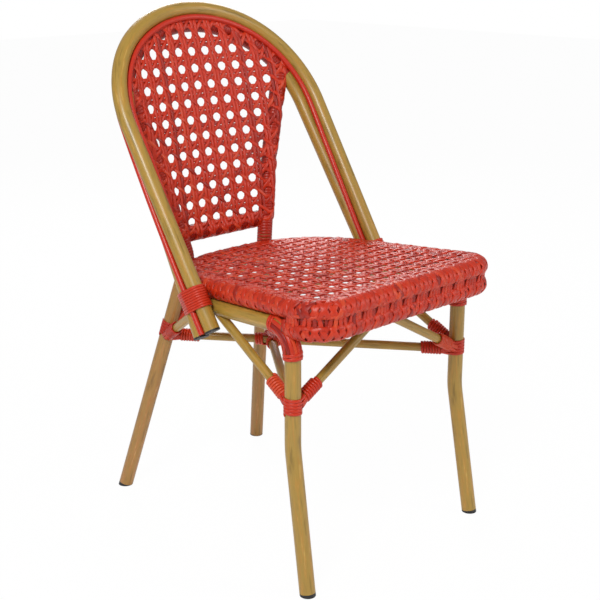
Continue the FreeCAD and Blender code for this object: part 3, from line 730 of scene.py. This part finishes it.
wraps.append(woundStrand(arch, toFront, topWrap, 0.0, wholeLength(arch), topWrap["tone"]))
strandPiece("back_under_wrap", wraps)


# the seat's woven top
cane = {"height": 14.3, "pitch": (30.5, 28.8), "holeAt": -25.5, "low": (-215.0, -290.0),
        "high": (215.0, 170.0), "reach": 12.0, "pair": 4.4, "width": 8.7, "slant": 8.0, "thick": 2.5,
        "lift": 1.9}
ringEdge = ringPath()
seatUp = unit(np.array([0.0, seat["slope"], 1.0]))
worldUp = np.array([0.0, 0.0, 1.0])


def seatSurface(x, y):
    return np.stack([x, y, ringZ(y) + cane["height"]], axis=1)


def seatNormal(x, y):
    return np.tile(seatUp, (len(x), 1))


seatFace = {"edge": ringEdge, "flatEdge": ringEdge[:, [0, 1]], "surface": seatSurface,
            "normal": seatNormal, "radius": cane["height"]}
strandPiece("seat_cane", wovenLattice(cane, seatFace), ["seat_weave"])


# the seat's rim lies on a profile that runs outward over the ring, and in front on round the lower rail
# inner rows are reach inward and depth, turns are from, to and count in degrees round a tube
rim = {"r": 14.3, "inner": ((-26.0, 1.2), (-13.0, 0.2)), "sideTurn": (0, 235, 40),
       "frontTurn": (0, 132, 26), "lowTurn": (48, 232, 34), "pastCorner": 22.0, "valleyPast": 4.0,
       "step": 2.2, "endRun": 7.0, "endDip": 1.8}
# slanted strands, three to a hole, that pass over and under each other in turn
crossed = {"slant": 0.44, "lift": 0.3, "raise": 1.0, "width": 8.8, "thick": 2.0, "wobble": 0.5,
           "perHole": 3.0, "margin": 2.0, "valleyGap": 3.0}
# short upright strands that leave a row of small holes in the valley between ring and lower rail
posts = {"reach": 13, "offsets": (-9.3, -3.1, 3.1, 9.3), "middle": 4, "splay": 0.02, "half": 15.0,
         "lift": 0.9, "raise": 0.5, "width": 7.2, "thick": 2.0}
# strands side by side underneath, their low tones darkening them as painted shade
under = {"spacing": 7.5, "start": 2.0, "stop": 1.0, "lift": -0.8, "thick": 1.2,
         "frontWidth": 8.6, "frontShadeTone": 0.05, "sideWidth": 8.4, "sideShadeTone": 0.12}
# strands that run along the rim, over and under the others
runner = {"step": 3.0, "lift": 0.6, "swing": 0.8, "waves": 1.5, "width": 6.4, "thick": 2.0,
          "top": 14.0, "topTurn": 0.5, "side": 46.0, "fromValley": 9.5}


def arcProfile(start, end, steps, centreRise=0.0):
    angles = np.radians(np.linspace(start, end, steps))
    out = rim["r"] * np.sin(angles)
    rise = centreRise + rim["r"] * np.cos(angles)
    return np.stack([out, rise, np.sin(angles), np.cos(angles)], axis=1)


# a profile is its running length, and rows of outward, up and the normal's outward and up
def profileTable(*arcs):
    inner = np.array([(out, rim["r"] - depth, 0.0, 1.0) for out, depth in rim["inner"]])
    rows = np.vstack([inner, *arcs])
    seg = np.hypot(np.diff(rows[:, 0]), np.diff(rows[:, 1]))
    return np.concatenate([[0.0], np.cumsum(seg)]), rows


sideProfile = profileTable(arcProfile(*rim["sideTurn"]))
frontProfile = profileTable(arcProfile(*rim["frontTurn"]), arcProfile(*rim["lowTurn"], -seat["drop"]))
ringLength = lengthsAlong(ringEdge)
ringTangent = unit(np.gradient(ringEdge, axis=0))
total = ringLength[-1]
cornerEnd = seat["frontX"] - seat["cornerR"] + seat["cornerR"] * math.pi / 2.0
frontStop = cornerEnd + rim["pastCorner"]
rimStrands = []


# s runs along the ring from the middle of the front, d down the profile from its inner end
def onRim(s, d, profile, lift):
    s = np.mod(s, total)
    centre = valuesAt(s, ringLength, ringEdge)
    t = unit(valuesAt(s, ringLength, ringTangent))
    outward = unit(np.cross(t, worldUp))
    length, rows = profile
    o, r, no, nr = (np.interp(d, length, rows[:, k]) for k in range(4))
    normal = unit(outward * no[:, None] + worldUp * nr[:, None])
    pos = centre + outward * o[:, None] + worldUp * r[:, None] + normal * lift[:, None]
    return pos, normal


# one strand down the profile, both its ends dipped under the others
def rimStrand(s0, slant, start, end, profile, lift, width, thick, tone=None):
    d = np.arange(start, end, rim["step"])
    ends = smooth((d - start) / rim["endRun"]) * smooth((end - d) / rim["endRun"])
    lift = lift * ends - rim["endDip"] * (1.0 - ends)
    pos, normal = onRim(s0 + slant * (d - (start + end) / 2.0), d, profile, lift)
    rimStrands.append(strand(pos, normal, width, thick, tone))


def crossedFamilies(start, span, count, profile, runs):
    for k in range(count + 1):
        s0 = start + k * span / count + crossed["wobble"] * rng.standard_normal()
        for slant, raised in ((crossed["slant"], k % 2), (-crossed["slant"], (k + 1) % 2)):
            for low, high in runs:
                rimStrand(s0, slant, low, high, profile, crossed["lift"] + crossed["raise"] * raised,
                          crossed["width"], crossed["thick"])


def underLayer(start, span, profile, width, tone):
    for k in range(int(span / under["spacing"]) + 1):
        rimStrand(start + k * under["spacing"], 0.0, under["start"], profile[0][-1] - under["stop"],
                  profile, under["lift"], width, under["thick"], tone)


def runners(start, end, profile, rows):
    s = np.arange(start, end, runner["step"])
    wave = 2.0 * math.pi * s / cane["pitch"][0] * runner["waves"]
    for d, turn in rows:
        lift = runner["lift"] + runner["swing"] * np.sin(wave + turn)
        pos, normal = onRim(s, np.full_like(s, d), profile, lift)
        rimStrands.append(strand(pos, normal, runner["width"], runner["thick"]))


# front: the crossing families over the rim and again below it
valley = -rim["inner"][0][0] + rim["r"] * math.radians(rim["frontTurn"][1]) + rim["valleyPast"]
frontEnd = frontProfile[0][-1]
frontSpan = 2.0 * frontStop
spacing = cane["pitch"][0] / crossed["perHole"]
crossedFamilies(-frontStop, frontSpan, int(round(frontSpan / spacing)), frontProfile,
                [(crossed["margin"], valley - crossed["valleyGap"]),
                 (valley + crossed["valleyGap"], frontEnd - crossed["margin"])])
for k in range(-posts["reach"], posts["reach"] + 1):
    for off in posts["offsets"]:
        s0 = (k + 0.5) * cane["pitch"][0] + off
        if abs(s0) < frontStop:
            lift = posts["lift"] + posts["raise"] * (abs(off) < posts["middle"])
            rimStrand(s0, posts["splay"] * off, valley - posts["half"], valley + posts["half"],
                      frontProfile, lift, posts["width"], posts["thick"])
underLayer(-frontStop, frontSpan, frontProfile, under["frontWidth"], under["frontShadeTone"])
runners(-frontStop, frontStop, frontProfile,
        ((runner["top"], runner["topTurn"]), (valley - runner["fromValley"], 0.0),
         (valley + runner["fromValley"], math.pi)))

# sides and rear: the same families round the ring alone
sideSpan = total - frontSpan
sideEnd = sideProfile[0][-1]
crossedFamilies(frontStop, sideSpan, int(sideSpan / spacing), sideProfile,
                [(crossed["margin"], sideEnd - crossed["margin"])])
underLayer(frontStop, sideSpan, sideProfile, under["sideWidth"], under["sideShadeTone"])
runners(frontStop, total - frontStop, sideProfile,
        ((runner["top"], runner["topTurn"]), (runner["side"], 0.0)))
strandPiece("seat_rim_strands", rimStrands)

# sleeves of lengthwise strands over the bends of the front legs, tied at both ends
sleeve = {"bottom": 378.0, "railY": -165.0, "r": 13.9, "count": 13, "width": 6.6, "thick": 2.0,
          "step": 2.5, "sway": 0.10, "swayWave": 17.0, "lift": 0.5, "liftWave": 9.0, "liftShift": 2.4}
tie = {"r": 14.9, "pitch": 5.4, "width": 5.2, "thick": 1.6, "low": 11.5, "high": 8.0}
for side, flip in sides:
    path = flip(roundedPoints([frontLegPoint(sleeve["bottom"]), frontLegPoint(railZ(leg["y"])),
                               railPoint(sleeve["railY"])], [leg["bendR"]], 3.0))
    length = lengthsAlong(path)
    whole = length[-1]
    at = np.linspace(0.0, whole, max(2, int(whole / sleeve["step"]) + 1))
    line = valuesAt(at, length, path)
    n1, n2 = frameOf(line, rightward)
    strands = []
    for k in range(sleeve["count"]):
        angle = 2.0 * math.pi * k / sleeve["count"] + sleeve["sway"] * np.sin(at / sleeve["swayWave"] + k)
        out = n1 * np.cos(angle)[:, None] + n2 * np.sin(angle)[:, None]
        lift = sleeve["lift"] * np.sin(at / sleeve["liftWave"] + k * sleeve["liftShift"])
        points = line + out * (sleeve["r"] + lift)[:, None]
        strands.append(strand(points, out, sleeve["width"], sleeve["thick"]))
    strands.append(woundStrand(line, rightward, tie, 0.0, tie["low"], phase=1.0))
    strands.append(woundStrand(line, rightward, tie, whole - tie["high"], whole, phase=2.0))
    strandPiece("bend_sleeve_strands_" + side, strands, ["bend_sleeve_" + side])

# joints: strand round the leg, round each strut, and short runs that fill the corner between
band = {"r": 13.8, "half": 13.2, "pitch": 5.2, "width": 5.3, "thick": 1.8, "side": (1, 0.3, 0),
        "frontZ": 302.5, "rearZ": 312.0}
wind = {"r": 9.6, "pitch": 4.9, "turns": 7, "width": 4.7, "thick": 3.7, "start": 24.5,
        "legR": 14.8, "strutR": 11.9, "gap": 0.3, "line": 40.0}
fill = {"count": 8, "start": 11.0, "past": 1.0, "r": 8.7, "grow": 1.6, "steps": 10,
        "width": 7.4, "thick": 2.2}


# how far along a strut its winding is clear of the band round the leg
def clearStart(along, legAlong):
    angle = math.acos(min(1.0, abs(float(unit(along).dot(unit(legAlong))))))
    clear = (wind["legR"] + wind["strutR"] * math.cos(angle)) / math.sin(angle) + wind["gap"]
    return max(wind["start"], clear)


def jointPiece(place, bandCentre, legAlong, ends, side, flip):
    legAlong = unit(legAlong)
    reach = legAlong * band["half"]
    line = np.linspace(bandCentre - reach, bandCentre + reach, 12)
    strands = [woundStrand(line, band["side"], band, 0.0, 2 * band["half"])]
    for start, end in ends:
        along = unit(end - start)
        begin = clearStart(along, legAlong)
        line = np.linspace(start, start + along * (begin + wind["line"]), 60)
        strands.append(woundStrand(line, upward, wind, begin, begin + wind["pitch"] * wind["turns"]))
        n1, n2 = frameOf(line, upward)
        reach = np.linspace(fill["start"], begin + fill["past"], fill["steps"])
        grow = fill["grow"] * smooth((begin - reach) / (begin - fill["start"]))
        for k in range(fill["count"]):
            angle = 2.0 * math.pi * k / fill["count"]
            out = n1[0] * math.cos(angle) + n2[0] * math.sin(angle)
            points = start + along * reach[:, None] + out * (fill["r"] + grow[:, None])
            strands.append(strand(points, np.tile(out, (fill["steps"], 1)), fill["width"], fill["thick"]))
    for s in strands:
        s["points"] = flip(s["points"])
        s["ups"] = flip(s["ups"])
    end = place + "_" + side
    strandPiece("joint_strands_" + end, strands, ["joint_band_" + end, "joint_windings_" + end])


for side, flip in sides:
    jointPiece("front", frontLegPoint(band["frontZ"]), upward,
               [(stretcherFront, rearLeft), struts["front_brace_right"], struts["side_brace_front_right"]],
               side, flip)
    jointPiece("rear", rearLegPoint(band["rearZ"]), rearAlong,
               [(stretcherRear, frontLeft), struts["side_brace_rear_right"], struts["rear_brace_right"]],
               side, flip)

# where the stretchers cross: a winding on each of the four arms, and strands over the middle
crossWind = {"r": 9.4, "pitch": 4.9, "turns": 3, "width": 4.7, "thick": 3.5, "start": 12.5, "line": 40.0}
middle = {"half": 15.0, "steps": 24, "offsets": (-4.5, 0.0, 4.5), "lift": 8.9, "width": 4.8, "thick": 2.4}
crossShare = stretcherRear[0] / (stretcherRear[0] + stretcherFront[0])
crossing = rearLeft + (stretcherFront - rearLeft) * crossShare
strands = []
for along in (unit(stretcherFront - rearLeft), unit(frontLeft - stretcherRear)):
    for way in (along, -along):
        line = np.linspace(crossing, crossing + way * crossWind["line"], 30)
        strands.append(woundStrand(line, upward, crossWind, crossWind["start"],
                                   crossWind["start"] + crossWind["turns"] * crossWind["pitch"]))
    t = np.linspace(-middle["half"], middle["half"], middle["steps"])
    across = unit(np.cross(along, upward))
    for off in middle["offsets"]:
        for sign in (1.0, -1.0):
            points = crossing + along * t[:, None] + across * off + worldUp * (sign * middle["lift"])
            ups = np.tile((0, 0, sign), (middle["steps"], 1))
            strands.append(strand(points, ups, middle["width"], middle["thick"]))
strandPiece("crossing_strands", strands, ["crossing_binding"])

# strand round each twin bow, over both tubes and the cord between
# start is its place down the outer bow, legFrom the place on that scale where the straight leg counts from
binding = {"start": 480.0, "legFrom": 198.5, "turns": 9, "pitch": 4.0, "wire": 1.7, "width": 4.2,
           "thick": 3.3, "tubeGap": 0.2, "cordR": 4.8, "cordGap": 0.1, "cordRound": 4.9}


# outline pulled round circles given anticlockwise, as points and outward directions
def belt(circles, step=2.0):
    pts, outs, leaving = [], [], []
    for (x0, y0, r0), (x1, y1, r1) in zip(circles, circles[1:] + circles[:1]):
        leaving.append(math.atan2(y1 - y0, x1 - x0) + math.asin((r0 - r1) / math.hypot(x1 - x0, y1 - y0)))
    for i, (x, y, r) in enumerate(circles):
        turn = (leaving[i] - leaving[i - 1]) % (2.0 * math.pi)
        steps = max(3, int(r * turn / step))
        for k in range(steps + 1):
            a = leaving[i - 1] + turn * k / steps
            pts.append((x + r * math.sin(a), y - r * math.cos(a)))
            outs.append((math.sin(a), -math.cos(a)))
    return np.array(pts), np.array(outs)


bindShare = (binding["start"] - binding["legFrom"]) / bow["leg"]
outerPoint = bowLegPoint(bow, bindShare)
legAlong = unit(bowLegPoint(bow, 1.0) - bowLegPoint(bow, 0.0))
pair = bowLegPoint(innerBow, bindShare) - outerPoint
pair = pair - legAlong * pair.dot(legAlong)
half = np.linalg.norm(pair) / 2.0
sideways = pair / (2.0 * half)
other = np.cross(legAlong, sideways)
outward = 1.0 if other[0] > 0 else -1.0
cordOut = math.sqrt((tubeR + binding["cordR"] + binding["cordGap"]) ** 2 - half ** 2)
roundTube = tubeR + binding["tubeGap"] + binding["wire"]
circles = [(half, 0.0, roundTube), (-half, 0.0, roundTube)]
circles.insert(1 if outward > 0 else 2, (0.0, outward * cordOut, binding["cordRound"] + binding["wire"]))
pts, outs = belt(circles)
closed = np.vstack([pts, pts[:1]])
climb = lengthsAlong(closed)[:-1] / wholeLength(closed)
for side, flip in sides:
    line, ups = [], []
    for turn in range(binding["turns"]):
        for (x, y), (ox, oy), c in zip(pts, outs, climb):
            rise = legAlong * binding["pitch"] * (turn + c)
            line.append(outerPoint + pair * 0.5 + sideways * x + other * y + rise)
            ups.append(sideways * ox + other * oy)
    wound = strand(flip(np.array(line)), flip(np.array(ups)), binding["width"], binding["thick"])
    strandPiece("bow_binding_strand_" + side, [wound], ["bow_binding_" + side])


# floor, light and camera
studio = {"floorHalf": 9, "floorTone": 0.93, "floorRough": 0.9, "floorGlow": 0.97, "ambient": 0.38}
lights = {"key": {"place": (-1.9, -1.0, 2.3), "target": (0, 0, 0.45), "size": (0.8, 0.8), "power": 50.0},
          "fill": {"place": (1.6, -2.6, 1.5), "target": (0, 0, 0.45), "size": (1.0, 1.6), "power": 24.0},
          "back": {"place": (1.5, 2.0, 2.0), "target": (0, 0, 0.5), "size": (1.4, 1.0), "power": 36.0}}
shot = {"place": (-1.3694, -1.4132, 0.9833), "target": (0.0, -0.0245, 0.387), "lens": 72.0, "sensor": 36.0}
white = (1.0, 1.0, 1.0, 1.0)


def aim(thing, place, target):
    thing.location = place
    thing.rotation_euler = (Vector(target) - Vector(place)).to_track_quat("-Z", "Y").to_euler()


floorMesh = bpy.data.meshes.new("floor")
edge = studio["floorHalf"]
floorCorners = [(-edge, -edge, 0), (edge, -edge, 0), (edge, edge, 0), (-edge, edge, 0)]
floorMesh.from_pydata(floorCorners, [], [(0, 1, 2, 3)])
floor = bpy.data.objects.new("floor", floorMesh)
bpy.context.scene.collection.objects.link(floor)
floorMat, tree, shader = newMaterial("paleFloor")
shader.inputs["Base Color"].default_value = (*[studio["floorTone"]] * 3, 1.0)
shader.inputs["Roughness"].default_value = studio["floorRough"]
rays = addNode(tree, "ShaderNodeLightPath")
glow = addNode(tree, "ShaderNodeEmission", Strength=1.0, Color=white)
blend = addNode(tree, "ShaderNodeMixShader")
seen = addNode(tree, "ShaderNodeMath", operation="MULTIPLY")
seen.inputs[1].default_value = studio["floorGlow"]
tree.links.new(rays.outputs["Is Camera Ray"], seen.inputs[0])
tree.links.new(seen.outputs["Value"], blend.inputs["Fac"])
tree.links.new(shader.outputs["BSDF"], blend.inputs[1])
tree.links.new(glow.outputs["Emission"], blend.inputs[2])
tree.links.new(blend.outputs["Shader"], tree.nodes["Material Output"].inputs["Surface"])
floorMesh.materials.append(floorMat)

world = bpy.context.scene.world or bpy.data.worlds.new("studio")
bpy.context.scene.world = world
world.use_nodes = True
tree = world.node_tree
tree.nodes.clear()
ambient = addNode(tree, "ShaderNodeBackground", Strength=studio["ambient"], Color=white)
plain = addNode(tree, "ShaderNodeBackground", Strength=1.0, Color=white)
rays = addNode(tree, "ShaderNodeLightPath")
blend = addNode(tree, "ShaderNodeMixShader")
output = addNode(tree, "ShaderNodeOutputWorld")
tree.links.new(rays.outputs["Is Camera Ray"], blend.inputs["Fac"])
tree.links.new(ambient.outputs["Background"], blend.inputs[1])
tree.links.new(plain.outputs["Background"], blend.inputs[2])
tree.links.new(blend.outputs["Shader"], output.inputs["Surface"])

for name, light in lights.items():
    data = bpy.data.lights.new(name, "AREA")
    data.shape = "RECTANGLE"
    data.size, data.size_y = light["size"]
    data.energy = light["power"]
    lamp = bpy.data.objects.new(name, data)
    bpy.context.scene.collection.objects.link(lamp)
    aim(lamp, light["place"], light["target"])

camera = bpy.data.cameras.new("camera")
camera.lens = shot["lens"]
camera.sensor_width = shot["sensor"]
view = bpy.data.objects.new("camera", camera)
bpy.context.scene.collection.objects.link(view)
aim(view, shot["place"], shot["target"])
bpy.context.scene.camera = view
bpy.context.scene.view_settings.view_transform = "Standard"
print("stage: floor, lights and camera")
